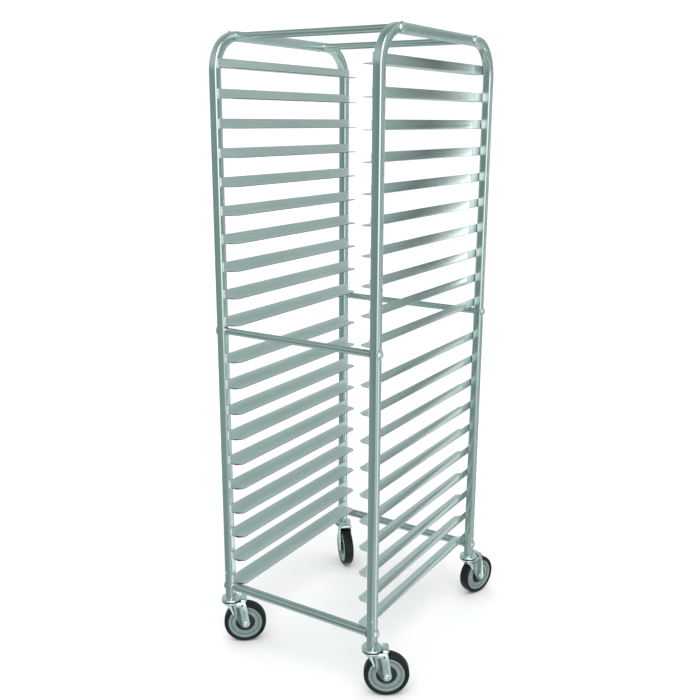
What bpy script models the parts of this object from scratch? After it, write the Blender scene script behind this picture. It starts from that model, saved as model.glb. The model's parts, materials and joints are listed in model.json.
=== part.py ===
"""Full-height end-loading sheet pan rack: two bent tube side frames, six crossbars,
twenty pairs of angle slides and four swivel stem casters.

Metres, +Z up. X runs across the rack, Y runs along the slides (pans load from -Y).
The origin is on the floor, at the middle of everything's extents: the trailing wheels reach
further out at the right and the rear, so the rack's own middle stands at RACK_MIDDLE.
"""

from math import atan2, cos, pi, radians, sin

import bmesh
import bpy
from mathutils import Matrix

# Frame
RACK_MIDDLE = (-0.0338, -0.0371)
RACK_WIDTH = 0.5207
RACK_DEPTH = 0.6604
RACK_HEIGHT = 1.7750
TUBE = 0.0254
TUBE_CORNER = 0.0036
TUBE_WALL = 0.0016
UPRIGHT_FOOT = 0.1470
BEND_RADIUS = 0.0950
BEND_STEPS = 8
CORNER_STEPS = 2
FIT_GAP = 0.0003

# Crossbars: height of the axis, its place along the rack from the middle, tube diameter
UPRIGHT_REACH = (RACK_DEPTH - TUBE) / 2
SMALL_BAR = 0.01905
CROSSBARS = {
    "top_front": (RACK_HEIGHT - TUBE / 2 - 0.0010, -0.2352, SMALL_BAR),
    "top_rear": (RACK_HEIGHT - TUBE / 2, 0.1887, SMALL_BAR),
    "middle_front": (0.9750, -UPRIGHT_REACH, SMALL_BAR),
    "middle_rear": (0.9750, UPRIGHT_REACH, SMALL_BAR),
    "bottom_front": (0.1850, -UPRIGHT_REACH, 0.0254),
    "bottom_rear": (0.1850, UPRIGHT_REACH, 0.0254),
}
BAR_WALL = 0.0016
BAR_SIDES = 20
BAR_PLUG = 0.0080
BOLT_RADIUS = 0.0040
CAP_RADIUS = 0.0145
CAP_HEIGHT = 0.0065
WEEP_RADIUS = 0.0025

# Slides: steel-square angles with clipped flange corners
SLIDE_COUNT = 20
SLIDE_PITCH = 0.0762
SLIDE_TOP_Z = 1.6765
SLIDES_ABOVE_BAR = 10
SLIDE_BREAK = 0.1062
SLIDE_LEG = 0.0254
SLIDE_FLANGE = 0.0381
SLIDE_GAUGE = 0.0016
SLIDE_SETBACK = 0.0090
SLIDE_CLIP = 0.0140

# Casters, measured from the floor
WHEEL_RADIUS = 0.0635
WHEEL_SIDES = 32
TREAD_HALF = 0.0160
HUB_HALF = 0.0170
HUB_RADIUS = 0.0130
DISC_RADIUS = 0.0515
RECESS_RADIUS = 0.0280
CASTER_TRAIL = 0.0410
AXLE_RADIUS = 0.0050
AXLE_HEAD_RADIUS = 0.0070
AXLE_HALF = 0.0240
LEG_INNER = 0.0185
LEG_GAUGE = 0.0030
LEG_END_RADIUS = 0.0140
CROWN_RADIUS = 0.0285
CROWN_TOP = 0.1387
CROWN_GAUGE = 0.0042
TAB_TOP = 0.1450
TAB_REACH = 0.0470
KINGPIN_RADIUS = 0.0050
RACE_SIDES = 24
PLUG_RADIUS = 0.0105
PLUG_TOP = 0.1770
# Corner of the rack and the direction in which the wheel trails, degrees from +X towards +Y
CASTERS = {
    "front_left": (-1, -1, 38.0),
    "front_right": (1, -1, 32.0),
    "rear_right": (1, 1, 70.0),
    "rear_left": (-1, 1, 316.0),
}

FINISHES = {
    "frame_tube": ((0.56, 0.63, 0.61, 1.0), 0.34, 1.0),
    "crossbar_tube": ((0.58, 0.64, 0.62, 1.0), 0.25, 1.0),
    "slide_angle": ((0.60, 0.67, 0.65, 1.0), 0.30, 1.0),
    "caster_plating": ((0.62, 0.67, 0.65, 1.0), 0.28, 1.0),
    "wheel_rubber": ((0.03, 0.035, 0.035, 1.0), 0.60, 0.0),
}


def clear_scene():
    for item in list(bpy.data.objects):
        bpy.data.objects.remove(item, do_unlink=True)


def material(piece, finish):
    colour, roughness, metallic = FINISHES[finish]
    made = bpy.data.materials.new(f"{piece}_{finish}")
    made.use_nodes = True
    shader = made.node_tree.nodes["Principled BSDF"]
    shader.inputs["Base Color"].default_value = colour
    shader.inputs["Roughness"].default_value = roughness
    shader.inputs["Metallic"].default_value = metallic
    return made


def place(name, mesh, finish, location=(0.0, 0.0, 0.0), parent=None):
    piece = bpy.data.objects.new(name, mesh)
    bpy.context.collection.objects.link(piece)
    piece.location = location
    piece.parent = parent
    piece.data.materials.clear()
    piece.data.materials.append(material(name, finish))
    return piece


def mesh_from(name, points, faces):
    mesh = bpy.data.meshes.new(name)
    mesh.from_pydata(points, [], faces)
    shell = bmesh.new()
    shell.from_mesh(mesh)
    bmesh.ops.recalc_face_normals(shell, faces=shell.faces)
    shell.to_mesh(mesh)
    shell.free()
    return mesh


def smooth(mesh, angle=30.0):
    mesh.shade_smooth()
    mesh.set_sharp_from_angle(angle=radians(angle))
    return mesh


def turned(name, profile, sides, start=0.0):
    """Solid of revolution about Z. The profile lists (radius, z); one that starts and ends
    away from the axis closes on itself and leaves a bore."""
    points = []
    rings = []
    for radius, height in profile:
        if radius == 0.0:
            rings.append([len(points)])
            points.append((0.0, 0.0, height))
            continue
        rings.append(list(range(len(points), len(points) + sides)))
        for step in range(sides):
            turn = start + 2 * pi * step / sides
            points.append((radius * cos(turn), radius * sin(turn), height))
    bored = profile[0][0] > 0.0
    pairs = list(zip(rings, rings[1:] + rings[:1])) if bored else list(zip(rings, rings[1:]))
    faces = []
    for low, high in pairs:
        for step in range(sides):
            after = (step + 1) % sides
            if len(low) == 1:
                faces.append((low[0], high[after], high[step]))
            elif len(high) == 1:
                faces.append((low[step], low[after], high[0]))
            else:
                faces.append((low[step], low[after], high[after], high[step]))
    return mesh_from(name, points, faces)


def prism(name, outline, depth):
    """The outline's (x, y) points extruded along Z from 0 to the depth."""
    count = len(outline)
    points = [(x, y, 0.0) for x, y in outline] + [(x, y, depth) for x, y in outline]
    faces = [tuple(range(count)), tuple(range(count, 2 * count))]
    for step in range(count):
        after = (step + 1) % count
        faces.append((step, after, after + count, step + count))
    return mesh_from(name, points, faces)


def combined(base, *steps):
    """Apply Boolean steps, each an (operation, mesh) pair, to a mesh and return the result."""
    helper = bpy.data.objects.new("helper", base)
    bpy.context.collection.objects.link(helper)
    tools = [helper]
    for operation, mesh in steps:
        tool = bpy.data.objects.new("tool", mesh)
        tool.hide_render = True
        tool.display_type = "WIRE"
        bpy.context.collection.objects.link(tool)
        tools.append(tool)
        change = helper.modifiers.new(operation.lower(), "BOOLEAN")
        change.operation = operation
        change.object = tool
    graph = bpy.context.evaluated_depsgraph_get()
    result = bpy.data.meshes.new_from_object(helper.evaluated_get(graph))
    result.materials.clear()
    for tool in tools:
        bpy.data.objects.remove(tool, do_unlink=True)
    return result


def rounded_square(side, corner, steps):
    """Points round a square centred on the origin, anticlockwise, with rounded corners."""
    middle = side / 2 - corner
    points = []
    for quarter, (sx, sy) in enumerate(((1, 1), (-1, 1), (-1, -1), (1, -1))):
        for step in range(steps + 1):
            turn = pi / 2 * (quarter + step / steps)
            points.append((sx * middle + corner * cos(turn), sy * middle + corner * sin(turn)))
    return points


def side_frame_path():
    """Centre line of one side frame in the YZ plane, as (y, z, turn of the tube's normal)."""
    reach = RACK_DEPTH / 2 - TUBE / 2
    top = RACK_HEIGHT - TUBE / 2
    path = [(-reach, UPRIGHT_FOOT, 0.0)]
    for end, first in ((-1, 0.0), (1, pi / 2)):
        centre_y = end * (reach - BEND_RADIUS)
        for step in range(BEND_STEPS + 1):
            turn = first + pi / 2 * step / BEND_STEPS
            path.append(
                (centre_y - BEND_RADIUS * cos(turn), top - BEND_RADIUS + BEND_RADIUS * sin(turn), turn)
            )
    path.append((reach, UPRIGHT_FOOT, pi))
    return path


def side_frame_mesh():
    """The bent square tube, open at both feet, with a hole through it for each crossbar bolt."""
    outer = rounded_square(TUBE, TUBE_CORNER, CORNER_STEPS)
    inner = rounded_square(TUBE - 2 * TUBE_WALL, TUBE_CORNER - TUBE_WALL, CORNER_STEPS)
    count = len(outer)
    points = []
    for y, z, turn in side_frame_path():
        for section in (outer, inner):
            for across, out in section:
                points.append((across, y - out * cos(turn), z + out * sin(turn)))
    faces = []
    rows = len(points) // (2 * count)
    for row in range(rows - 1):
        for skin in (0, count):
            base = 2 * count * row + skin
            for step in range(count):
                after = (step + 1) % count
                faces.append((base + step, base + after, base + after + 2 * count, base + step + 2 * count))
    for base in (0, 2 * count * (rows - 1)):
        for step in range(count):
            after = (step + 1) % count
            faces.append((base + step, base + after, base + count + after, base + count + step))
    tube = mesh_from("side_frame", points, faces)
    holes = []
    hole = BOLT_RADIUS + FIT_GAP
    for height, y, _ in CROSSBARS.values():
        drill = turned("drill", [(0.0, -TUBE), (hole, -TUBE), (hole, TUBE), (0.0, TUBE)], BAR_SIDES)
        drill.transform(Matrix.Rotation(pi / 2, 4, "Y"))
        drill.transform(Matrix.Translation((0.0, y, height)))
        holes.append(("DIFFERENCE", drill))
    return smooth(combined(tube, *holes))


def crossbar_mesh(diameter):
    """A tube between the side frames, with plugged ends, bolts through the side frames and
    a domed head outside each. A weep hole under its middle opens the tube's hollow."""
    radius = diameter / 2
    shoulder = RACK_WIDTH / 2 - TUBE - FIT_GAP
    face = RACK_WIDTH / 2 + FIT_GAP
    half = [
        (CAP_RADIUS * 0.62, face + CAP_HEIGHT),
        (CAP_RADIUS * 0.90, face + CAP_HEIGHT * 0.70),
        (CAP_RADIUS, face + CAP_HEIGHT * 0.25),
        (CAP_RADIUS, face),
        (BOLT_RADIUS, face),
        (BOLT_RADIUS, shoulder),
        (radius, shoulder),
    ]
    profile = [(0.0, face + CAP_HEIGHT)] + half
    profile += [(r, -x) for r, x in reversed(half)] + [(0.0, -face - CAP_HEIGHT)]
    bore = radius - BAR_WALL
    deep = shoulder - BAR_PLUG
    cavity = turned("cavity", [(0.0, deep), (bore, deep), (bore, -deep), (0.0, -deep)], BAR_SIDES)
    weep = turned("weep", [(0.0, -radius), (WEEP_RADIUS, -radius), (WEEP_RADIUS, radius), (0.0, radius)], 12)
    weep.transform(Matrix.Rotation(pi / 2, 4, "Y") @ Matrix.Translation((0.0, 0.0, -radius)))
    bar = combined(turned("crossbar", profile, BAR_SIDES), ("DIFFERENCE", cavity), ("DIFFERENCE", weep))
    bar.transform(Matrix.Rotation(pi / 2, 4, "Y"))
    return smooth(bar)


def slide_mesh():
    """An angle for the left side: its leg stands against the uprights at x = 0, and its flange
    reaches towards +X with both of its free corners clipped."""
    clip_x = SLIDE_FLANGE - SLIDE_CLIP
    section = [
        (0.0, 0.0),
        (clip_x, 0.0),
        (SLIDE_FLANGE, 0.0),
        (SLIDE_FLANGE, SLIDE_GAUGE),
        (clip_x, SLIDE_GAUGE),
        (SLIDE_GAUGE, SLIDE_GAUGE),
        (SLIDE_GAUGE, SLIDE_LEG),
        (0.0, SLIDE_LEG),
    ]
    count = len(section)
    reach = RACK_DEPTH / 2 - SLIDE_SETBACK
    points = []
    for end in (-1, 1):
        for x, z in section:
            clipped = SLIDE_CLIP if x == SLIDE_FLANGE else 0.0
            points.append((x, end * (reach - clipped), z))
    faces = [(step, (step + 1) % count, (step + 1) % count + count, step + count) for step in range(count)]
    for base in (0, count):
        faces.append(tuple(base + step for step in (0, 1, 4, 5, 6, 7)))
        faces.append(tuple(base + step for step in (1, 2, 3, 4)))
    return mesh_from("slide", points, faces)


def slide_height(number):
    """Underside of slide 1 to 20, counted from the top."""
    height = SLIDE_TOP_Z - SLIDE_PITCH * (number - 1)
    if number > SLIDES_ABOVE_BAR:
        height -= SLIDE_BREAK - SLIDE_PITCH
    return height


def stem_mesh():
    """Caster stem: plug in the upright's foot, upper swivel race, and kingpin with its head."""
    race_top = UPRIGHT_FOOT - FIT_GAP
    race_under = CROWN_TOP + FIT_GAP
    crown_under = CROWN_TOP - CROWN_GAUGE
    profile = [
        (0.0, PLUG_TOP),
        (PLUG_RADIUS * 0.8, PLUG_TOP),
        (PLUG_RADIUS, PLUG_TOP - 0.003),
        (PLUG_RADIUS, race_top),
        (0.0175, race_top),
        (0.0255, race_top - 0.0030),
        (0.0285, race_under + 0.0018),
        (0.0275, race_under),
        (KINGPIN_RADIUS, race_under),
        (KINGPIN_RADIUS, crown_under - FIT_GAP),
        (0.0085, crown_under - FIT_GAP),
        (0.0085, crown_under - 0.0040),
        (0.0060, crown_under - 0.0060),
        (0.0, crown_under - 0.0060),
    ]
    return smooth(turned("caster_stem", profile, RACE_SIDES))


def leg_outline():
    """Side view of a fork leg as (trail, height): raked in front, round at the axle."""
    top = CROWN_TOP - CROWN_GAUGE / 2
    outline = [(0.0440, top), (-0.0190, top), (-0.0140, 0.1170), (-0.0056, 0.0960), (0.0145, 0.0770)]
    first = atan2(-0.60, -1.0)
    last = atan2(0.12, 1.0)
    for step in range(9):
        turn = first + (last - first) * step / 8
        across = CASTER_TRAIL + LEG_END_RADIUS * cos(turn)
        outline.append((across, WHEEL_RADIUS + LEG_END_RADIUS * sin(turn)))
    return outline


def plate(name, low, high, corner):
    """A flat box between two corners, with the two edges at its +X end cut off."""
    outline = [
        (low[0], low[1]),
        (high[0] - corner, low[1]),
        (high[0], low[1] + corner),
        (high[0], high[1] - corner),
        (high[0] - corner, high[1]),
        (low[0], high[1]),
    ]
    mesh = prism(name, outline, high[2] - low[2])
    mesh.transform(Matrix.Translation((0.0, 0.0, low[2])))
    return mesh


def fork_mesh():
    """Swivel fork and axle, about the kingpin: the wheel trails towards +X, its axle along Y."""
    crown_under = CROWN_TOP - CROWN_GAUGE
    hole = KINGPIN_RADIUS + FIT_GAP
    crown = turned(
        "fork",
        [
            (hole, CROWN_TOP),
            (CROWN_RADIUS - 0.0020, CROWN_TOP),
            (CROWN_RADIUS, crown_under + 0.0010),
            (CROWN_RADIUS - 0.0010, crown_under),
            (hole, crown_under),
        ],
        RACE_SIDES,
    )
    head = LEG_INNER + LEG_GAUGE - 0.0005
    race_clear = CROWN_RADIUS + 0.0010
    bridge = plate("bridge", (0.0120, -head, crown_under + 0.0002), (TAB_REACH - 0.0005, head, 0.1381), 0.008)
    tab = plate("tab", (race_clear, 0.0010 - head, 0.1360), (TAB_REACH, head - 0.0010, TAB_TOP), 0.009)
    steps = [("UNION", bridge), ("UNION", tab)]
    for side in (-1, 1):
        leg = prism("leg", leg_outline(), LEG_GAUGE)
        leg.transform(Matrix.Rotation(pi / 2, 4, "X"))
        shift = LEG_INNER + LEG_GAUGE if side > 0 else -LEG_INNER
        leg.transform(Matrix.Translation((0.0, shift, 0.0)))
        steps.append(("UNION", leg))
    half = [
        (AXLE_HEAD_RADIUS * 0.8, AXLE_HALF),
        (AXLE_HEAD_RADIUS, AXLE_HALF - 0.0012),
        (AXLE_HEAD_RADIUS, head),
        (AXLE_RADIUS, head),
    ]
    profile = [(0.0, AXLE_HALF)] + half
    profile += [(radius, -across) for radius, across in reversed(half)] + [(0.0, -AXLE_HALF)]
    axle = turned("axle", profile, 12)
    axle.transform(Matrix.Rotation(pi / 2, 4, "X"))
    axle.transform(Matrix.Translation((CASTER_TRAIL, 0.0, WHEEL_RADIUS)))
    steps.append(("UNION", axle))
    return smooth(combined(crown, *steps))


def wheel_mesh():
    """Wheel about Y: tyre, disc and hub in one turned body, bored for the axle, and standing on
    one of its flats."""
    bore = AXLE_RADIUS + FIT_GAP
    rim = WHEEL_RADIUS / cos(pi / WHEEL_SIDES)
    half = [
        (bore, HUB_HALF),
        (HUB_RADIUS, HUB_HALF),
        (HUB_RADIUS + 0.0010, TREAD_HALF - 0.0060),
        (RECESS_RADIUS, TREAD_HALF - 0.0050),
        (RECESS_RADIUS + 0.0015, TREAD_HALF - 0.0015),
        (DISC_RADIUS, TREAD_HALF - 0.0010),
        (rim - 0.0045, TREAD_HALF),
        (rim - 0.0012, TREAD_HALF - 0.0025),
        (rim, TREAD_HALF - 0.0070),
    ]
    profile = half + [(radius, -across) for radius, across in reversed(half)]
    wheel = turned("wheel", profile, WHEEL_SIDES, start=pi / WHEEL_SIDES)
    wheel.transform(Matrix.Rotation(pi / 2, 4, "X"))
    return smooth(wheel, 25.0)


def add_crossbars():
    for spot, (height, y, diameter) in CROSSBARS.items():
        place(f"crossbar_{spot}", crossbar_mesh(diameter), "crossbar_tube", (0.0, y, height))


def add_slides():
    left = slide_mesh()
    mirrored = [(-corner.co.x, corner.co.y, corner.co.z) for corner in left.vertices]
    right = mesh_from("slide_right", mirrored, [tuple(face.vertices) for face in left.polygons])
    wall = RACK_WIDTH / 2 - TUBE - FIT_GAP
    for number in range(1, SLIDE_COUNT + 1):
        height = slide_height(number)
        place(f"slide_left_{number:02d}", left.copy(), "slide_angle", (-wall, 0.0, height))
        place(f"slide_right_{number:02d}", right.copy(), "slide_angle", (wall, 0.0, height))


def add_caster(corner, side_x, side_y, trail_degrees, meshes):
    stem, fork, wheel = meshes
    x = side_x * (RACK_WIDTH - TUBE) / 2
    y = side_y * (RACK_DEPTH - TUBE) / 2
    name = f"caster_{corner}"
    place(f"{name}_stem", stem.copy(), "caster_plating", (x, y, 0.0))
    swivel = bpy.data.objects.new(f"{name}_swivel_axis", None)
    bpy.context.collection.objects.link(swivel)
    swivel.location = (x, y, 0.0)
    swivel.rotation_euler = (0.0, 0.0, radians(trail_degrees))
    place(f"{name}_fork", fork.copy(), "caster_plating", parent=swivel)
    place(f"{name}_wheel", wheel.copy(), "wheel_rubber", (CASTER_TRAIL, 0.0, WHEEL_RADIUS), swivel)


def build():
    clear_scene()
    frame = side_frame_mesh()
    for side, name in ((-1, "side_frame_left"), (1, "side_frame_right")):
        place(name, frame.copy(), "frame_tube", (side * (RACK_WIDTH - TUBE) / 2, 0.0, 0.0))
    add_crossbars()
    add_slides()
    meshes = (stem_mesh(), fork_mesh(), wheel_mesh())
    for corner, (side_x, side_y, trail) in CASTERS.items():
        add_caster(corner, side_x, side_y, trail, meshes)
    for piece in bpy.data.objects:
        if piece.parent is None:
            piece.location.x += RACK_MIDDLE[0]
            piece.location.y += RACK_MIDDLE[1]


build()
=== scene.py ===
"""Looks for the sheet pan rack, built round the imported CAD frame. Metres, +Z up."""

import json
from math import atan2, cos, degrees, pi, radians, sin, sqrt

import bmesh
import bpy
from mathutils import Matrix, Vector


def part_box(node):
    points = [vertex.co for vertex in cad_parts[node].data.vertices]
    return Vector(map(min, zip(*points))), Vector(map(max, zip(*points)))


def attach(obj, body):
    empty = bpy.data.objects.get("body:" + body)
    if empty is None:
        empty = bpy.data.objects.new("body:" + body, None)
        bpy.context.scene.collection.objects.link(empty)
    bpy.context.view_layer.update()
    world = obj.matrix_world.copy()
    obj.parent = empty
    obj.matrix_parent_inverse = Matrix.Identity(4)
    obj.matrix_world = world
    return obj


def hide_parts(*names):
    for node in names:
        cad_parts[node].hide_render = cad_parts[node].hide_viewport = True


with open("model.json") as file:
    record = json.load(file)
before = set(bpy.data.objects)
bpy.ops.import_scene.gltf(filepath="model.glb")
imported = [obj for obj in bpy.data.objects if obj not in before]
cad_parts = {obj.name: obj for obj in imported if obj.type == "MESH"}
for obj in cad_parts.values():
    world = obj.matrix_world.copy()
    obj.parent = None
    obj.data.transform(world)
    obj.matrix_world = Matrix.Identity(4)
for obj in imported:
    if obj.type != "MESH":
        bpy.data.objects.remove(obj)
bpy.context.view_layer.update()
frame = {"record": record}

# Side frames: square tube, its corners and wall, and the bends' radius at its centre line.
TUBE = 0.0254
TUBE_CORNER = 0.0050
TUBE_WALL = 0.0016
BEND_RADIUS = 0.0950
BEND_STEPS = 24

# Crossbars, and the gap that keeps a fastening clear of the face it is on.
BAR_RADIUS = 0.009525
BOTTOM_BAR_RADIUS = 0.0127
GAP = 0.0002

# Slides: pairs, sheet thickness, the cut across each free corner of the flange, and how finely
# the weld bead at each end is divided along and round.
SLIDE_PAIRS = 20
SLIDE_GAUGE = 0.0016
SLIDE_CLIP = 0.0140
WELD_STEPS = 32
WELD_SIDES = 12

# Rivets in the uprights above the casters: on the end face, that far in from the outer face, and
# on the middle of the outer face.
END_RIVET_HEIGHT = 0.2280
END_RIVET_IN = 0.0060
SIDE_RIVET_HEIGHT = 0.2080

# Caster forks, in a frame whose X runs from the kingpin to the axle: the legs' outer faces, sheet,
# rounding about the axle and fold into the nose, then the axle's place and the nose's setback
# from the legs and its top.
LEG_OUT = 0.0215
LEG_GAUGE = 0.0028
LEG_END = 0.0142
FOLD_X = 0.0145
TRAIL = 0.0410
AXLE_Z = 0.0635
NOSE_STEP = 0.0013
NOSE_TOP = 0.1318

CORNERS = ("front_left", "front_right", "rear_right", "rear_left")

# Camera: lens in millimetres, place from the bottom centre of the frame, and angles in degrees.
LENS = 45.97
CAMERA_PLACE = (1.3379, -2.2061, 1.5469)
CAMERA_TURN, CAMERA_TILT, CAMERA_ROLL = 31.70, 14.41, 0.31


# ---------------------------------------------------------------- materials

class Nodes:
    """Short-hand for building a node tree, a material's or the world's."""

    def __init__(self, owner):
        self.owner = owner
        owner.use_nodes = True
        self.tree = owner.node_tree

    def add(self, kind, **values):
        node = self.tree.nodes.new(kind)
        for name, value in values.items():
            setattr(node, name, value)
        return node

    def link(self, source, target):
        self.tree.links.new(source, target)

    def coords(self, scale, grain_map=None):
        """Object coordinates, or a UV map of metres along and round a tube, scaled."""
        if grain_map:
            source = self.add("ShaderNodeUVMap", uv_map=grain_map).outputs["UV"]
        else:
            source = self.add("ShaderNodeTexCoord").outputs["Object"]
        mapping = self.add("ShaderNodeMapping")
        mapping.inputs["Scale"].default_value = scale
        self.link(source, mapping.inputs["Vector"])
        return mapping.outputs["Vector"]

    def noise(self, vector, scale=1.0, detail=3.0, roughness=0.55, distortion=0.0):
        node = self.add("ShaderNodeTexNoise")
        node.inputs["Scale"].default_value = scale
        node.inputs["Detail"].default_value = detail
        node.inputs["Roughness"].default_value = roughness
        node.inputs["Distortion"].default_value = distortion
        self.link(vector, node.inputs["Vector"])
        return node.outputs["Fac"]

    def span(self, value, low, high, to_low, to_high):
        """The value moved from one range to another, and kept inside it."""
        node = self.add("ShaderNodeMapRange")
        ends = {"From Min": low, "From Max": high, "To Min": to_low, "To Max": to_high}
        for socket, number in ends.items():
            node.inputs[socket].default_value = number
        self.link(value, node.inputs["Value"])
        return node.outputs["Result"]

    def maths(self, operation, first, second):
        """One operation on two values, each a socket or a float."""
        node = self.add("ShaderNodeMath", operation=operation)
        for socket, value in zip(node.inputs, (first, second)):
            if isinstance(value, float):
                socket.default_value = value
            else:
                self.link(value, socket)
        return node.outputs["Value"]

    def blend(self, factor, first, second):
        """A mix of two colours, each a socket or a tuple."""
        node = self.add("ShaderNodeMix", data_type="RGBA")
        self.link(factor, node.inputs["Factor"])
        colours = [socket for socket in node.inputs if socket.type == "RGBA"]
        for socket, value in zip(colours, (first, second)):
            if isinstance(value, tuple):
                socket.default_value = (*value, 1.0)
            else:
                self.link(value, socket)
        return [socket for socket in node.outputs if socket.type == "RGBA"][0]

    def bump(self, height, strength, distance):
        node = self.add("ShaderNodeBump")
        node.inputs["Strength"].default_value = strength
        node.inputs["Distance"].default_value = distance
        self.link(height, node.inputs["Height"])
        return node.outputs["Normal"]

    def finish(self, colour, roughness, normal, metallic=0.0, shine=0.5):
        """Wires up the Principled shader and hands back the material."""
        shader = self.tree.nodes["Principled BSDF"]
        self.link(colour, shader.inputs["Base Color"])
        self.link(roughness, shader.inputs["Roughness"])
        self.link(normal, shader.inputs["Normal"])
        shader.inputs["Metallic"].default_value = metallic
        shader.inputs["Specular IOR Level"].default_value = shine
        return self.owner


# Dark tone painted on the slides' thin flange cut edge: painted shade, a dark line along that edge.
EDGE_SHADE_TONE = (0.10, 0.14, 0.135)


def drawn_metal(name, dark, light, roughness, along, grain_map=None, rubbed=None, metallic=1.0):
    """Mill-finish metal with fine die lines along one axis.

    Where a dull roughness is given, faces marked "rubbed" on the mesh have it instead, and the
    faces of the flange's cut edge, marked on the mesh, are painted dark: a painted shade line.
    """
    nodes = Nodes(bpy.data.materials.new(name))
    stretch = [300.0, 300.0, 300.0]
    stretch[along] = 1.5
    lines = nodes.noise(nodes.coords(stretch, grain_map), 1.0, 3.0, 0.6)
    soft = [9.0, 9.0, 9.0]
    soft[along] = 3.0
    blotch = nodes.noise(nodes.coords(soft, grain_map), 1.0, 3.0, 0.5)
    halves = [nodes.maths("MULTIPLY", part, 0.5) for part in (lines, blotch)]
    tone = nodes.maths("ADD", *halves)
    colour = nodes.blend(nodes.span(tone, 0.35, 0.65, 0.0, 1.0), dark, light)
    rough = nodes.span(tone, 0.3, 0.7, roughness - 0.04, roughness + 0.05)
    if rubbed:
        mask = nodes.add("ShaderNodeAttribute", attribute_name="rubbed").outputs["Fac"]
        scuffs = nodes.span(blotch, 0.3, 0.7, rubbed - 0.04, rubbed + 0.05)
        keep = nodes.maths("MULTIPLY", rough, nodes.maths("SUBTRACT", 1.0, mask))
        rough = nodes.maths("ADD", keep, nodes.maths("MULTIPLY", scuffs, mask))
        edge_shade = nodes.add("ShaderNodeAttribute", attribute_name="edge_shade").outputs["Fac"]
        colour = nodes.blend(edge_shade, colour, EDGE_SHADE_TONE)
    normal = nodes.bump(lines, 0.012, 0.0002)
    return nodes.finish(colour, rough, normal, metallic)


def pressed_metal(name, dark, light, roughness, metallic=1.0):
    """Bright zinc plate over pressed steel: faint cloudiness and a fine orange-peel."""
    nodes = Nodes(bpy.data.materials.new(name))
    cloud = nodes.noise(nodes.coords((60.0, 60.0, 60.0)), 1.0, 4.0, 0.6, 0.4)
    peel = nodes.noise(nodes.coords((700.0, 700.0, 700.0)), 1.0, 2.0, 0.5)
    colour = nodes.blend(nodes.span(cloud, 0.35, 0.65, 0.0, 1.0), dark, light)
    rough = nodes.span(cloud, 0.3, 0.7, roughness - 0.04, roughness + 0.07)
    return nodes.finish(colour, rough, nodes.bump(peel, 0.08, 0.0002), metallic)


def moulded(name, dark, light, roughness, grain=900.0, depth=0.15, shine=0.5):
    """Moulded rubber or plastic: slightly uneven colour, fine grain and dusty patches."""
    nodes = Nodes(bpy.data.materials.new(name))
    cloud = nodes.noise(nodes.coords((70.0, 70.0, 70.0)), 1.0, 4.0, 0.6, 0.3)
    fine = nodes.noise(nodes.coords((grain, grain, grain)), 1.0, 2.0, 0.6)
    colour = nodes.blend(nodes.span(cloud, 0.35, 0.70, 0.0, 1.0), dark, light)
    rough = nodes.span(cloud, 0.3, 0.7, roughness - 0.06, roughness + 0.08)
    return nodes.finish(colour, rough, nodes.bump(fine, depth, 0.0002), shine=shine)


FRAME_METAL = drawn_metal(
    "frame_metal", (0.60, 0.69, 0.675), (0.72, 0.80, 0.785), 0.19, along=0, grain_map="grain"
)
BAR_METAL = drawn_metal("bar_metal", (0.49, 0.58, 0.565), (0.60, 0.68, 0.665), 0.17, along=0)
SLIDE_METAL = drawn_metal(
    "slide_metal", (0.68, 0.76, 0.745), (0.79, 0.86, 0.85), 0.085, along=1, rubbed=0.32, metallic=0.9
)
PLATED = pressed_metal("plated_steel", (0.66, 0.74, 0.725), (0.78, 0.85, 0.84), 0.12)
BOLT_METAL = pressed_metal("bolt_metal", (0.74, 0.80, 0.79), (0.86, 0.90, 0.89), 0.16)
# Weld beads: near-white colour with little metal, so they show white under any light: a painted highlight
# for the glint on each bead.
WELD_HIGHLIGHT_METAL = pressed_metal("weld_painted_highlight", (0.84, 0.88, 0.87), (0.95, 0.97, 0.97), 0.26, 0.35)
RUBBER = moulded(
    "tyre_rubber", (0.004, 0.006, 0.006), (0.010, 0.013, 0.013), 0.48, grain=700.0, depth=0.2, shine=0.28
)
DISC = moulded(
    "wheel_disc", (0.190, 0.262, 0.255), (0.225, 0.300, 0.292), 0.22, grain=1200.0, depth=0.05, shine=0.7
)
HUB_BLACK = moulded("hub_cover", (0.008, 0.010, 0.010), (0.018, 0.021, 0.021), 0.40)


# ---------------------------------------------------------------- mesh building

def piece(name, mesh, material, body, replaces=(), angle=35.0):
    """A finished object from a mesh in the CAD's frame: shaded, painted, riding on its body."""
    made = bpy.data.objects.new(name, mesh)
    bpy.context.collection.objects.link(made)
    mesh.materials.clear()
    mesh.materials.append(material)
    mesh.shade_smooth()
    mesh.set_sharp_from_angle(angle=radians(angle))
    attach(made, body)
    if replaces:
        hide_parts(*replaces)
    return made


def face_outwards(mesh, weld=False):
    """Turns every face outwards, after welding points that fall together if asked."""
    shell = bmesh.new()
    shell.from_mesh(mesh)
    if weld:
        bmesh.ops.remove_doubles(shell, verts=shell.verts, dist=0.00002)
        bmesh.ops.dissolve_degenerate(shell, dist=0.00001, edges=shell.edges)
    bmesh.ops.recalc_face_normals(shell, faces=shell.faces)
    shell.to_mesh(mesh)
    shell.free()


def mesh_from(name, points, faces, weld=False):
    """A mesh whose faces all point outwards."""
    mesh = bpy.data.meshes.new(name)
    mesh.from_pydata([tuple(point) for point in points], [], faces)
    face_outwards(mesh, weld)
    return mesh


def ring_grid(rows, closed_rows=False, cap=True):
    """Faces that join equal rings of points in order; the ends are capped or joined."""
    count = len(rows[0])
    points = [point for row in rows for point in row]
    faces = []
    spans = len(rows) if closed_rows else len(rows) - 1
    for row in range(spans):
        here, there = row * count, (row + 1) % len(rows) * count
        for step in range(count):
            after = (step + 1) % count
            faces.append((here + step, here + after, there + after, there + step))
    if cap and not closed_rows:
        faces.append(tuple(range(count)))
        faces.append(tuple(range(len(points) - count, len(points))))
    return points, faces


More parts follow.
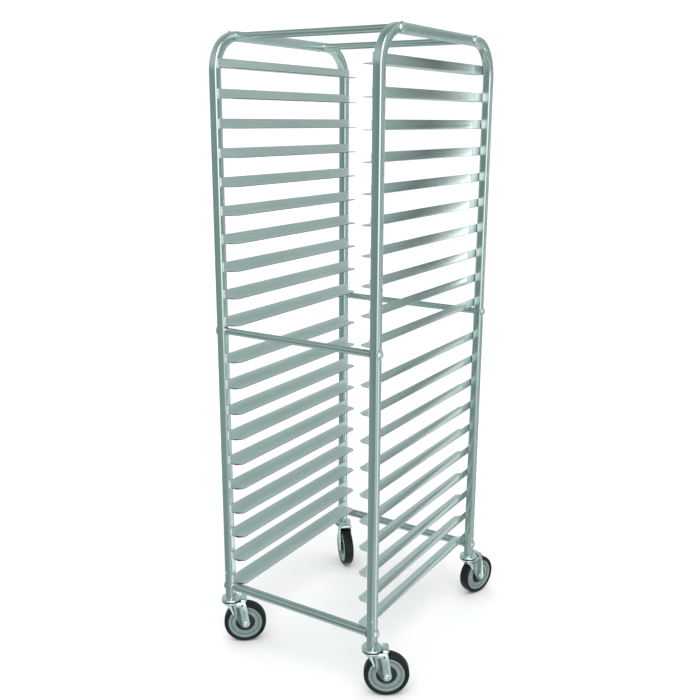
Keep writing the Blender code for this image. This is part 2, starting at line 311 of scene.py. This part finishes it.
def turned(name, profile, matrix, sides=64, closed=False):
    """Solid of revolution about Z from (radius, height) points, put in place by a matrix."""
    rows = []
    around = [2 * pi * side / sides for side in range(sides)]
    for radius, height in profile:
        radius = max(radius, 0.00002)
        ring = [(radius * cos(turn), radius * sin(turn), height) for turn in around]
        rows.append([matrix @ Vector(point) for point in ring])
    points, faces = ring_grid(rows, closed_rows=closed)
    return mesh_from(name, points, faces)


def arc(centre, radius, first, last, steps):
    """Points of an arc in a profile's plane, angles in degrees."""
    result = []
    for step in range(steps + 1):
        turn = radians(first + (last - first) * step / steps)
        result.append((centre[0] + radius * cos(turn), centre[1] + radius * sin(turn)))
    return result


def rounded_square(side, corner, steps):
    """A square's outline with rounded corners, centred on the origin."""
    middle = side / 2 - corner
    points = []
    for quarter, (sx, sy) in enumerate(((1, 1), (-1, 1), (-1, -1), (1, -1))):
        points += arc((sx * middle, sy * middle), corner, 90 * quarter, 90 * quarter + 90, steps)
    return points


def along_x(position):
    """Puts a turned piece's axis along +X at a position."""
    return Matrix.Translation(position) @ Matrix.Rotation(pi / 2, 4, "Y")


# ---------------------------------------------------------------- side frames

def frame_path(low, high):
    """Stations down the middle of a side frame: (y, z, turn, distance along)."""
    front, back = low.y + TUBE / 2, high.y - TUBE / 2
    top = high.z - TUBE / 2
    stations = []
    length = 0.0
    shoulder = top - BEND_RADIUS
    upright = shoulder - low.z
    spots = [(front, low.z + upright * step / 6, 0.0) for step in range(6)]
    for end, first in ((front + BEND_RADIUS, 0.0), (back - BEND_RADIUS, pi / 2)):
        for step in range(BEND_STEPS + 1):
            turn = first + pi / 2 * step / BEND_STEPS
            spots.append((end - BEND_RADIUS * cos(turn), shoulder + BEND_RADIUS * sin(turn), turn))
    spots += [(back, shoulder - upright * step / 6, pi) for step in range(1, 7)]
    before = spots[0]
    for spot in spots:
        length += sqrt((spot[0] - before[0]) ** 2 + (spot[1] - before[1]) ** 2)
        stations.append((*spot, length))
        before = spot
    return stations


def side_frame(side):
    """The bent tube with its true corners; its UV map runs along and round the tube."""
    node = f"side_frame_{side}"
    low, high = (Vector(corner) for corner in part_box(node))
    centre = (low.x + high.x) / 2
    stations = frame_path(low, high)
    outer = rounded_square(TUBE, TUBE_CORNER, 6)
    inner = rounded_square(TUBE - 2 * TUBE_WALL, TUBE_CORNER - TUBE_WALL, 6)
    count = len(outer)
    girth = [0.0]
    for step in range(count):
        here, there = Vector(outer[step]), Vector(outer[(step + 1) % count])
        girth.append(girth[-1] + (there - here).length)
    points = []
    for y, z, turn, _ in stations:
        for section in (outer, inner):
            for across, out in section:
                points.append((centre + across, y - out * cos(turn), z + out * sin(turn)))
    faces, places = [], []
    for row in range(len(stations) - 1):
        for skin in (0, count):
            base = 2 * count * row + skin
            for step in range(count):
                after = (step + 1) % count
                here, there = base, base + 2 * count
                faces.append((here + step, here + after, there + after, there + step))
                low_u, high_u = stations[row][3], stations[row + 1][3]
                near, far = girth[step], girth[step + 1]
                places.append(((low_u, near), (low_u, far), (high_u, far), (high_u, near)))
    for row in (0, len(stations) - 1):
        base = 2 * count * row
        for step in range(count):
            after = (step + 1) % count
            faces.append((base + step, base + after, base + count + after, base + count + step))
            near, far = stations[row][3], stations[row][3] + 0.002
            places.append(((near, 0.0), (near, 0.001), (far, 0.001), (far, 0.0)))
    mesh = bpy.data.meshes.new(f"frame_tube_{side}")
    mesh.from_pydata(points, [], faces)
    layer = mesh.uv_layers.new(name="grain")
    for face, spots in zip(mesh.polygons, places):
        for loop, spot in zip(face.loop_indices, spots):
            layer.data[loop].uv = spot
    face_outwards(mesh)
    piece(f"frame_tube_{side}", mesh, FRAME_METAL, "rack", (node,), 50.0)


# ---------------------------------------------------------------- crossbars

def crossbar(spot):
    """Round tube with a weld collar at each end, and a washer and domed bolt outside each frame."""
    node = f"crossbar_{spot}"
    low, high = (Vector(corner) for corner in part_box(node))
    y, z = (low.y + high.y) / 2, (low.z + high.z) / 2
    radius = BOTTOM_BAR_RADIUS if spot.startswith("bottom") else BAR_RADIUS
    middle = (low.x + high.x) / 2
    left_frame, right_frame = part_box("side_frame_left"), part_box("side_frame_right")
    start, stop = left_frame[1][0], right_frame[0][0]
    half = (stop - start) / 2 - GAP
    lip, straight = radius - 0.0012, half - 0.0004
    profile = [(lip, -half)]
    profile += [(radius, straight * (step / 4 - 1)) for step in range(9)]
    profile += [(lip, half)]
    tube = turned(f"bar_{spot}", profile, along_x((middle, y, z)), 64)
    piece(f"bar_{spot}", tube, BAR_METAL, "rack", (node,), 40.0)
    collar = [(radius - 0.0010, GAP), (radius + 0.0022, GAP), (radius + 0.0021, 0.0007)]
    collar += [(radius + 0.0011, 0.0014), (radius + 0.0005, 0.0024), (radius + 0.0002, 0.0036)]
    collar += [(radius - 0.0010, 0.0036)]
    washer = [(0.0052, GAP), (0.0143, GAP), (0.0145, 0.0005), (0.0143, 0.0015), (0.0052, 0.0016)]
    dome = [(0.0, 0.0004), (0.0048, 0.0004), (0.0048, 0.0017), (0.0124, 0.0017), (0.0128, 0.0021)]
    dome += arc((0.0, -0.0095), 0.0172, 44.0, 62.0, 7)
    dome += [(0.0070, 0.0063), (0.0062, 0.0065), (0.0034, 0.0066), (0.0, 0.0066)]
    for side, inner, outer, sign in (
        ("left", start, left_frame[0][0], 1.0),
        ("right", stop, right_frame[1][0], -1.0),
    ):
        name = f"bar_{spot}_{side}"
        inward = Matrix.Translation((inner, y, z)) @ Matrix.Rotation(sign * pi / 2, 4, "Y")
        outward = Matrix.Translation((outer, y, z)) @ Matrix.Rotation(-sign * pi / 2, 4, "Y")
        collar_mesh = turned("collar", collar, inward, 48, closed=True)
        piece(f"{name}_collar", collar_mesh, BAR_METAL, "rack")
        washer_mesh = turned("washer", washer, outward, 56, closed=True)
        piece(f"{name}_washer", washer_mesh, BOLT_METAL, "rack")
        bolt_mesh = turned("bolt", dome, outward, 56)
        piece(f"{name}_bolt", bolt_mesh, BOLT_METAL, "rack")


# ---------------------------------------------------------------- slides

def slide(side, number):
    """Angle with a rounded bend and eased edges; the two free corners of its flange are clipped."""
    node = f"slide_{side}_{number:02d}"
    low, high = (Vector(corner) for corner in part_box(node))
    wall, out = (low.x, 1.0) if side == "left" else (high.x, -1.0)
    width, height = high.x - low.x, high.z - low.z
    gauge, ease, clip = SLIDE_GAUGE, 0.0003, SLIDE_CLIP
    outer_bend = arc((0.0024, 0.0024), 0.0024, 180, 270, 5)
    inner_bend = arc((0.0024, 0.0024), 0.0008, 270, 180, 4)
    bottom = [(width - clip, 0.0), (width - ease, 0.0), (width, ease)]
    top = [(width, gauge - ease), (width - ease, gauge), (width - clip, gauge)]
    leg = [(gauge, height - ease), (gauge - ease, height), (ease, height), (0.0, height - ease)]
    section = outer_bend + bottom + top + inner_bend + leg
    count = len(section)
    rows = []
    length = high.y - low.y
    near_end = [0.0, 0.0003, 0.010, 0.0145, 0.04, 0.16]
    spots = near_end + [length / 2] + [length - spot for spot in reversed(near_end)]
    for spot in spots:
        row = []
        for x, z in section:
            inset = max(x - (width - clip), 0.0)
            y = min(max(spot, inset), length - inset)
            row.append((wall + out * x, low.y + y, low.z + z))
        rows.append(row)
    points, faces = ring_grid(rows, cap=False)
    for base in (0, len(points) - count):
        flange_end = count - len(leg) - len(inner_bend) + 1
        flange = [base + step for step in range(len(outer_bend) - 1, flange_end)]
        rest = [base + step for step in range(count) if base + step not in flange[1:-1]]
        faces.append(tuple(flange))
        faces.append(tuple(rest))
    mesh = mesh_from(f"angle_{side}_{number:02d}", points, faces, weld=True)
    rubbed = mesh.attributes.new("rubbed", "FLOAT", "FACE")
    for face, mark in zip(mesh.polygons, rubbed.data):
        mark.value = 1.0 if face.normal.x * out > 0.9 or abs(face.normal.z) > 0.5 else 0.0
    # The flange's cut edge is marked for a painted dark colour: painted shade along that thin edge.
    edge_shade = mesh.attributes.new("edge_shade", "FLOAT", "FACE")
    for face, mark in zip(mesh.polygons, edge_shade.data):
        mark.value = 1.0 if abs(face.center.x - wall) > width - 0.0005 else 0.0
    piece(f"angle_{side}_{number:02d}", mesh, SLIDE_METAL, "rack", (node,), 32.0)
    end_welds(side, number, wall, out, low, high)


def end_welds(side, number, wall, out, low, high):
    """A rippled upright bead at each end of the leg, on the upright's inner face."""
    past = 0.0005
    for end, edge, facing in (("front", low.y, -1.0), ("rear", high.y, 1.0)):
        rows = []
        for step in range(WELD_STEPS + 1):
            part = step / WELD_STEPS
            z = low.z - past + (high.z - low.z + 2 * past) * part
            taper = min(1.0, 4.0 * part + 0.45, 5.0 * (1.0 - part) + 0.25)
            ripple = 1.0 + 0.10 * sin(step * 2.4 + number) + 0.35 * max(0.0, 0.14 - part) / 0.14
            proud, wide = 0.0023 * taper * ripple, 0.0033 * taper * ripple
            centre = edge + facing * 0.0026
            ring = []
            for side_step in range(WELD_SIDES):
                turn = 2 * pi * side_step / WELD_SIDES
                away = 0.0001 + proud * (0.5 + 0.5 * cos(turn))
                ring.append((wall + out * away, centre + wide * sin(turn), z))
            rows.append(ring)
        points, faces = ring_grid(rows)
        mesh = mesh_from("weld", points, faces)
        piece(f"weld_{side}_{number:02d}_{end}", mesh, WELD_HIGHLIGHT_METAL, "rack", (), 60.0)


# ---------------------------------------------------------------- casters

def caster_axes(corner):
    """Swivel axis, wheel centre and trail direction of one caster, from the record's joints."""
    joints = {joint["name"]: joint for joint in frame["record"]["behaviour"]["joints"]}
    swivel = Vector(joints[f"{corner}_swivel"]["pos_m"])
    wheel = Vector(joints[f"{corner}_wheel_spin"]["pos_m"])
    turn = atan2(wheel.y - swivel.y, wheel.x - swivel.x)
    return swivel, wheel, turn


def caster_head(corner, swivel):
    """Race cup in and under the upright's foot, and the kingpin with its head under the crown."""
    body, slot = "rack", "caster_plating"
    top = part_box(f"caster_{corner}_stem")[1][2]
    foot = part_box("side_frame_left")[0][2]
    place = Matrix.Translation((swivel.x, swivel.y, 0.0))
    cup = [(0.0045, top - 0.001), (0.0098, top - 0.0005), (0.0104, top - 0.002)]
    cup += [(0.0104, foot - 0.0002), (0.0165, foot - 0.0002), (0.0178, foot - 0.0006)]
    cup += [(0.0215, foot - 0.0014)] + arc((0.0248, foot - 0.0052), 0.0036, 80, -20, 7)
    cup += [(0.0284, foot - 0.0068), (0.0272, foot - 0.0074), (0.0240, foot - 0.0070)]
    cup += [(0.0060, foot - 0.0066), (0.0045, foot - 0.0066)]
    stem = f"caster_{corner}_stem"
    piece(f"caster_{corner}_cup", turned("cup", cup, place), PLATED, body, (stem,))
    pin = [(0.0, 0.1400), (0.0043, 0.1400), (0.0043, 0.1346), (0.0084, 0.1346), (0.0086, 0.1340)]
    pin += [(0.0080, 0.1318), (0.0058, 0.1294), (0.0, 0.1286)]
    piece(f"caster_{corner}_kingpin", turned("pin", pin, place, 32), BOLT_METAL, body)


def fork_frame(swivel, turn):
    """Puts fork coordinates, X from kingpin to axle, in place at one caster."""
    return Matrix.Translation((swivel.x, swivel.y, 0.0)) @ Matrix.Rotation(turn, 4, "Z")


def leg_outline():
    """Side view of a leg behind the fold: up the back, over the top, down the fold, round the axle."""
    outline = [(0.0425, 0.1350), (0.0415, 0.1362), (0.0390, 0.1368), (FOLD_X, 0.1345)]
    outline += [(FOLD_X, 0.1250 - 0.0150 * step) for step in range(4)] + [(0.0158, 0.0755)]
    outline += arc((TRAIL, AXLE_Z), LEG_END, 212, 365, 18)
    outline += [(0.0520, 0.0850), (0.0482, 0.1130)]
    return outline


def fork_leg(side, matrix):
    """One flat leg with rounded rims, its end rounded about the axle."""
    outline = leg_outline()
    count = len(outline)
    centre = Vector((sum(x for x, _ in outline) / count, sum(z for _, z in outline) / count))
    ease = 0.0007
    rows = []
    for out, shrink in (
        (LEG_OUT - LEG_GAUGE, ease),
        (LEG_OUT - LEG_GAUGE + ease, 0.0),
        (LEG_OUT - ease, 0.0),
        (LEG_OUT - 0.0002, ease * 0.5),
        (LEG_OUT, ease * 1.2),
    ):
        row = []
        for x, z in outline:
            away = Vector((x, z)) - centre
            inner = Vector((x, z)) - away.normalized() * shrink
            row.append(matrix @ Vector((inner.x, side * out, inner.y)))
        rows.append(row)
    points, faces = ring_grid(rows)
    return mesh_from("leg", points, faces)


# The nose's front edge from the side: heights, and X at each.
NOSE_RAKE = ((0.1400, -0.0275), (0.1310, -0.0255), (0.1170, -0.0150), (0.0960, -0.0056), (0.0700, 0.0040))


def nose_front(height):
    """X of the nose's front edge at a height."""
    for (high, x_high), (low, x_low) in zip(NOSE_RAKE, NOSE_RAKE[1:]):
        if low <= height <= high:
            return x_low + (x_high - x_low) * (height - low) / (high - low)
    return NOSE_RAKE[-1][1]


def nose_point(theta, height, inset=0.0):
    """A point of the curved web that joins the legs round the front of the wheel."""
    reach = FOLD_X - nose_front(height) - inset
    facing = max(cos(theta), 0.0)
    flare = min(max((height - 0.122) / 0.014, 0.0), 1.0)
    half = LEG_OUT - NOSE_STEP - inset + flare * 0.0050 * facing**0.5
    return Vector((FOLD_X - reach * facing**0.9, half * sin(theta), height))


def nose_hem(theta):
    """Height of the nose's lower edge: an arch over the tread, then down to the legs."""
    blend = abs(theta) / (pi / 2)
    if blend < 0.42:
        return 0.1185 - 0.0015 * (blend / 0.42) ** 2
    if blend < 0.72:
        part = (blend - 0.42) / 0.30
        return 0.1170 - 0.0230 * (3 * part**2 - 2 * part**3)
    return 0.0940 - 0.0160 * ((blend - 0.72) / 0.28) ** 1.6


def fork_nose(matrix):
    """The web as a thin curved shell with an arched lower edge that clears the tread."""
    columns, bands, sheet = 41, 10, 0.0026
    skins = []
    for inset in (0.0, sheet):
        skin = []
        for row in range(bands + 1):
            for column in range(columns):
                theta = -pi / 2 + pi * column / (columns - 1)
                height = NOSE_TOP + (nose_hem(theta) - NOSE_TOP) * row / bands
                skin.append(matrix @ nose_point(theta, height, inset))
        skins.append(skin)
    points = skins[0] + skins[1]
    offset = len(skins[0])
    faces = []
    for row in range(bands):
        for column in range(columns - 1):
            first = row * columns + column
            quad = (first, first + 1, first + columns + 1, first + columns)
            faces.append(quad)
            faces.append(tuple(offset + point for point in reversed(quad)))
    for column in range(columns - 1):
        for row in (0, bands):
            first = row * columns + column
            faces.append((first, first + 1, offset + first + 1, offset + first))
    for row in range(bands):
        for column in (0, columns - 1):
            first = row * columns + column
            faces.append((first, first + columns, offset + first + columns, offset + first))
    return mesh_from("nose", points, faces)


def fork_tab(matrix):
    """The crown's flat top running back over the wheel, rolled down at its end."""
    section = [(0.0100, 0.1318), (0.0300, 0.1330), (0.0445, 0.1345), (0.0468, 0.1352)]
    section += [(0.0472, 0.1385)] + arc((0.0415, 0.1395), 0.0056, 0, 90, 6)
    section += [(0.0330, 0.1451), (0.0308, 0.1449), (0.0300, 0.1438), (0.0296, 0.1360)]
    section += [(0.0285, 0.1350), (0.0100, 0.1345)]
    rows = []
    for across in (-1.0, -0.97, -0.88, -0.7, -0.35, 0.0, 0.35, 0.7, 0.88, 0.97, 1.0):
        round_off = max(abs(across) - 0.7, 0.0) / 0.3
        row = []
        for x, z in section:
            drop = max(z - 0.1345, 0.0) / 0.0106 * 0.0042 * round_off**2.2
            back = max(x - 0.030, 0.0) / 0.017 * 0.0036 * round_off**2
            row.append(matrix @ Vector((x - back, across * (LEG_OUT - 0.0002), z - drop)))
        rows.append(row)
    points, faces = ring_grid(rows)
    return mesh_from("tab", points, faces)


def join_meshes(name, meshes):
    """Several closed shells as one mesh."""
    whole = bmesh.new()
    for mesh in meshes:
        whole.from_mesh(mesh)
        bpy.data.meshes.remove(mesh)
    result = bpy.data.meshes.new(name)
    whole.to_mesh(result)
    whole.free()
    return result


def crown_race(corner, matrix):
    """The ring of balls on the fork's crown, and a black ring round it: painted shade for the race's dark
    groove.
    """
    body, slot = f"{corner}_fork", "caster_plating"
    balls = []
    for step in range(18):
        around = 2 * pi * step / 18
        centre = Matrix.Translation((0.0212 * cos(around), 0.0212 * sin(around), 0.1372))
        balls.append(turned("ball", arc((0.0, 0.0), 0.0019, -90, 90, 8), matrix @ centre, 12))
    piece(f"caster_{corner}_balls", join_meshes("balls", balls), BOLT_METAL, body)
    # A black ring in the gap between cup and crown: painted shade for the race's dark groove.
    groove_shade = [(0.0240, 0.1351), (0.0256, 0.1352), (0.0260, 0.1374), (0.0256, 0.1395), (0.0240, 0.1396)]
    groove_shade_mesh = turned("groove_shade", groove_shade, matrix, 64, closed=True)
    piece(f"caster_{corner}_seal", groove_shade_mesh, HUB_BLACK, body)


def caster_fork(corner, swivel, turn):
    """Pressed fork: ring under the race, flat crown and tab, raked nose, two legs and the axle."""
    body, slot = f"{corner}_fork", "caster_plating"
    matrix = fork_frame(swivel, turn)
    ring = [(0.0056, 0.1345), (0.0235, 0.1350), (0.0262, 0.1352)]
    ring += arc((0.0268, 0.1336), 0.0016, 100, -60, 6)
    ring += [(0.0272, 0.1312), (0.0250, 0.1306), (0.0056, 0.1318)]
    parts = [turned("ring", ring, matrix, 64, closed=True), fork_tab(matrix), fork_nose(matrix)]
    parts += [fork_leg(side, matrix) for side in (-1, 1)]
    node = f"caster_{corner}_fork"
    piece(f"caster_{corner}_yoke", join_meshes("yoke", parts), PLATED, body, (node,), 40.0)
    crown_race(corner, matrix)
    head = [(0.0, -0.0040), (0.0052, -0.0040), (0.0052, 0.0001), (0.0068, 0.0001)]
    head += [(0.0070, 0.0005), (0.0069, 0.0012), (0.0060, 0.0019), (0.0044, 0.0023)]
    head += [(0.0032, 0.0017), (0.0018, 0.0014), (0.0, 0.0013)]
    # A black disc near the top of each leg: painted shade standing for the small hole there.
    hole_shade = [(0.0, -0.0008), (0.0028, -0.0008), (0.0031, 0.0), (0.0027, 0.0002)]
    hole_shade += [(0.0024, -0.0001), (0.0, -0.0002)]
    for side, name in ((-1, "near"), (1, "far")):
        outward = Matrix.Rotation(-side * pi / 2, 4, "X")
        face = matrix @ Matrix.Translation((TRAIL, side * LEG_OUT, AXLE_Z)) @ outward
        axle = turned("axle", head, face, 40)
        piece(f"caster_{corner}_axle_{name}", axle, BOLT_METAL, body)
        spot = matrix @ Matrix.Translation((0.0335, side * (LEG_OUT + 0.0003), 0.1240)) @ outward
        piece(f"caster_{corner}_eye_{name}", turned("hole_shade", hole_shade, spot, 28), HUB_BLACK, body)
    sleeve = matrix @ Matrix.Translation((TRAIL, 0.0, AXLE_Z)) @ Matrix.Rotation(pi / 2, 4, "X")
    bore = [(0.0042, -0.0186), (0.0049, -0.0184), (0.0049, 0.0184), (0.0042, 0.0186)]
    sleeve_mesh = turned("sleeve", bore, sleeve, 32, closed=True)
    piece(f"caster_{corner}_sleeve", sleeve_mesh, BOLT_METAL, body)


def mirrored(half):
    """A closed profile from its upper half."""
    return half + [(radius, -height) for radius, height in reversed(half)]


def caster_wheel(corner, wheel, turn):
    """Tyre with rounded shoulders, disc with a raised rim and a groove, and dark hub covers."""
    body, slot = f"{corner}_wheel", "wheel_rubber"
    axle = Matrix.Rotation(turn, 4, "Z") @ Matrix.Rotation(pi / 2, 4, "X")
    matrix = Matrix.Translation(wheel) @ axle
    half = [(0.0500, 0.0118), (0.0508, 0.0136), (0.0516, 0.0142), (0.0540, 0.0150)]
    half += arc((0.0570, 0.0098), 0.0063, 84, 6, 12) + [(0.0635, 0.0085), (0.0635, 0.0030)]
    tyre = turned("tyre", mirrored(half), matrix, 128, closed=True)
    piece(f"caster_{corner}_tyre", tyre, RUBBER, body, (f"caster_{corner}_wheel",), 50.0)
    half = [(0.0285, 0.0060), (0.0288, 0.0112), (0.0294, 0.0128), (0.0306, 0.0135)]
    half += [(0.0322, 0.0131), (0.0340, 0.0122), (0.0385, 0.0118), (0.0402, 0.0112)]
    half += [(0.0409, 0.0092), (0.0421, 0.0092), (0.0428, 0.0118), (0.0438, 0.0140)]
    half += [(0.0456, 0.0150), (0.0484, 0.0152), (0.0502, 0.0146), (0.0511, 0.0132), (0.0514, 0.0116)]
    disc = turned("disc", mirrored(half), matrix, 96, closed=True)
    piece(f"caster_{corner}_disc", disc, DISC, body, (), 50.0)
    half = [(0.0058, 0.0178), (0.0105, 0.0178), (0.0118, 0.0172), (0.0124, 0.0150), (0.0132, 0.0092)]
    half += [(0.0200, 0.0080), (0.0270, 0.0072), (0.0284, 0.0070)]
    hub = turned("hub", mirrored(half), matrix, 64, closed=True)
    piece(f"caster_{corner}_hub", hub, HUB_BLACK, body, (), 40.0)


# ---------------------------------------------------------------- small fastenings

def rivet(name, position, direction):
    """A small domed blind-rivet head on a face."""
    turn = Vector((0.0, 0.0, 1.0)).rotation_difference(Vector(direction)).to_matrix().to_4x4()
    head = [(0.0, -0.0010), (0.0030, -0.0010), (0.0032, 0.0002)] + arc((0.0, -0.0030), 0.0046, 42, 74, 5)
    head += [(0.0010, 0.0012), (0.0, 0.0011)]
    mesh = turned("rivet", head, Matrix.Translation(position) @ turn, 28)
    piece(name, mesh, BOLT_METAL, "rack")


def foot_rivets():
    """Two rivets in each upright above the caster, on its end face and its outer face."""
    for side, out in (("left", -1.0), ("right", 1.0)):
        low, high = (Vector(corner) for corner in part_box(f"side_frame_{side}"))
        outer = low.x if out < 0 else high.x
        for end, y, facing in (("front", low.y, -1.0), ("rear", high.y, 1.0)):
            position = (outer - out * END_RIVET_IN, y, END_RIVET_HEIGHT)
            rivet(f"foot_rivet_{side}_{end}", position, (0.0, facing, 0.0))
            position = (outer, y - facing * TUBE / 2, SIDE_RIVET_HEIGHT)
            rivet(f"plug_rivet_{side}_{end}", position, (out, 0.0, 0.0))


# ---------------------------------------------------------------- stage

def sky_patch(nodes, azimuth, elevation, sideways, height, soft_az, soft_el):
    """1 inside a window of directions, in degrees, and 0 outside it, with soft edges."""
    parts = []
    for angle, (low, high), soft in ((azimuth, sideways, soft_az), (elevation, height, soft_el)):
        rise = nodes.span(angle, low - soft, low + soft, 0.0, 1.0)
        fall = nodes.span(angle, high - soft, high + soft, 1.0, 0.0)
        parts.append(nodes.maths("MULTIPLY", rise, fall))
    return nodes.maths("MULTIPLY", *parts)


# What the metal sees of the studio, later rows over earlier ones: azimuths and elevations in
# degrees, how soft the edges of each are, and the brightness.
STUDIO_WALLS = (0.40, 0.47, 0.46)
STUDIO_PATCHES = (
    # the ceiling, its dark middle and the floor
    ((-180.0, 180.0), (8.0, 95.0), 1.0, 12.0, (0.52, 0.60, 0.59)),
    ((-180.0, 180.0), (48.0, 95.0), 1.0, 14.0, (0.24, 0.31, 0.30)),
    ((-180.0, 180.0), (-95.0, -12.0), 1.0, 5.0, (0.62, 0.71, 0.70)),
    # darker walls to the left of the camera
    ((-160.0, -124.0), (-40.0, 12.0), 4.0, 8.0, (0.26, 0.35, 0.335)),
    ((-124.0, -98.0), (-40.0, 12.0), 4.0, 5.0, (0.21, 0.285, 0.275)),
    # floor strips that the casters reflect
    ((-111.0, -92.0), (-60.0, -27.0), 3.0, 2.0, (1.00, 1.10, 1.10)),
    ((-88.0, -66.0), (-60.0, -18.0), 5.0, 4.0, (0.11, 0.15, 0.145)),
    ((-62.0, -40.0), (-60.0, -18.0), 3.0, 4.0, (0.42, 0.50, 0.485)),
    ((0.0, 40.0), (-60.0, -15.0), 8.0, 4.0, (0.20, 0.275, 0.265)),
    # the key softbox, behind and to the right of the camera
    ((-72.0, -4.0), (-13.0, 45.0), 8.0, 5.0, (1.50, 1.58, 1.58)),
    # right-hand side, as the left slides see it
    ((40.0, 52.5), (-13.0, 8.0), 3.0, 3.0, (0.16, 0.23, 0.22)),
    ((54.0, 58.0), (-13.0, 8.0), 2.0, 3.0, (0.66, 0.75, 0.735)),
    ((44.0, 58.0), (-45.0, -13.0), 3.0, 3.0, (1.15, 1.27, 1.24)),
    # right-hand side, as the right slides see it: a dark flag, then a narrow strip light
    ((59.0, 75.0), (-40.0, 7.0), 0.8, 4.0, (0.27, 0.365, 0.35)),
    ((61.9, 64.6), (-13.0, 7.0), 1.0, 3.0, (0.04, 0.065, 0.065)),
    ((63.4, 65.2), (-40.0, -13.0), 0.8, 3.0, (0.12, 0.16, 0.16)),
    ((66.1, 67.2), (-12.0, 2.6), 0.20, 1.2, (3.40, 3.40, 3.40)),
    ((66.0, 68.0), (-40.0, -14.0), 0.4, 2.0, (0.80, 0.88, 0.88)),
)
ROOM_WHITE = (1.1, 1.1, 1.1)


def studio_light():
    """The world: plain white, but a grey-green studio with soft panels in reflections."""
    world = bpy.data.worlds.new("studio")
    bpy.context.scene.world = world
    nodes = Nodes(world)
    world.cycles.sampling_method = "NONE"
    split = nodes.add("ShaderNodeSeparateXYZ")
    nodes.link(nodes.add("ShaderNodeTexCoord").outputs["Generated"], split.inputs["Vector"])
    turn = nodes.maths("ARCTAN2", split.outputs["Y"], split.outputs["X"])
    azimuth = nodes.maths("MULTIPLY", turn, degrees(1.0))
    rise = nodes.maths("ARCSINE", split.outputs["Z"], 0.0)
    elevation = nodes.maths("MULTIPLY", rise, degrees(1.0))
    room = STUDIO_WALLS
    for sideways, height, soft_az, soft_el, colour in STUDIO_PATCHES:
        inside = sky_patch(nodes, azimuth, elevation, sideways, height, soft_az, soft_el)
        room = nodes.blend(inside, room, colour)
    glossy = nodes.add("ShaderNodeLightPath").outputs["Is Glossy Ray"]
    seen = nodes.blend(glossy, ROOM_WHITE, room)
    nodes.link(seen, world.node_tree.nodes["Background"].inputs["Color"])


def studio():
    """A white room with a soft overhead sun over a plain white floor."""
    studio_light()
    data = bpy.data.lights.new("overhead", "SUN")
    data.energy = 0.7
    data.angle = radians(40.0)
    lamp = bpy.data.objects.new("overhead", data)
    bpy.context.collection.objects.link(lamp)
    lamp.rotation_euler = (radians(28.0), radians(12.0), 0.0)
    data = bpy.data.meshes.new("floor")
    reach = 30.0
    corners = [(-reach, -reach, 0), (reach, -reach, 0), (reach, reach, 0), (-reach, reach, 0)]
    data.from_pydata(corners, [], [(0, 1, 2, 3)])
    floor = bpy.data.objects.new("floor", data)
    bpy.context.collection.objects.link(floor)
    nodes = Nodes(bpy.data.materials.new("floor_white"))
    grain = nodes.noise(nodes.coords((3.0, 3.0, 3.0)), 1.0, 3.0, 0.5)
    colour = nodes.blend(grain, (0.94, 0.94, 0.94), (0.96, 0.96, 0.96))
    rough = nodes.span(grain, 0.3, 0.7, 0.85, 0.95)
    data.materials.append(nodes.finish(colour, rough, nodes.bump(grain, 0.02, 0.001)))
    floor.visible_glossy = False


def camera():
    """The photo's view: from the right of the loading end, looking back and a little down."""
    low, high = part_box("side_frame_left")[0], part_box("side_frame_right")[1]
    middle = Vector(((low[0] + high[0]) / 2, (low[1] + high[1]) / 2, 0.0))
    data = bpy.data.cameras.new("camera")
    data.lens = LENS
    data.sensor_width = 36.0
    view = bpy.data.objects.new("camera", data)
    bpy.context.collection.objects.link(view)
    azimuth, elevation, roll = radians(CAMERA_TURN), radians(CAMERA_TILT), radians(CAMERA_ROLL)
    level = cos(elevation)
    forward = Vector((-sin(azimuth) * level, cos(azimuth) * level, -sin(elevation)))
    right = Vector((cos(azimuth), sin(azimuth), 0.0))
    up = right.cross(forward)
    x_axis = cos(roll) * right + sin(roll) * up
    y_axis = -sin(roll) * right + cos(roll) * up
    turn = Matrix((x_axis, y_axis, -forward)).transposed().to_4x4()
    view.matrix_world = Matrix.Translation(middle + Vector(CAMERA_PLACE)) @ turn
    bpy.context.scene.camera = view


for side in ("left", "right"):
    side_frame(side)
    for number in range(1, SLIDE_PAIRS + 1):
        slide(side, number)
for spot in ("top_front", "top_rear", "middle_front", "middle_rear", "bottom_front", "bottom_rear"):
    crossbar(spot)
for corner in CORNERS:
    swivel, wheel, turn = caster_axes(corner)
    caster_head(corner, swivel)
    caster_fork(corner, swivel, turn)
    caster_wheel(corner, wheel, turn)
foot_rivets()
camera()
studio()
bpy.context.scene.view_settings.view_transform = "Standard"
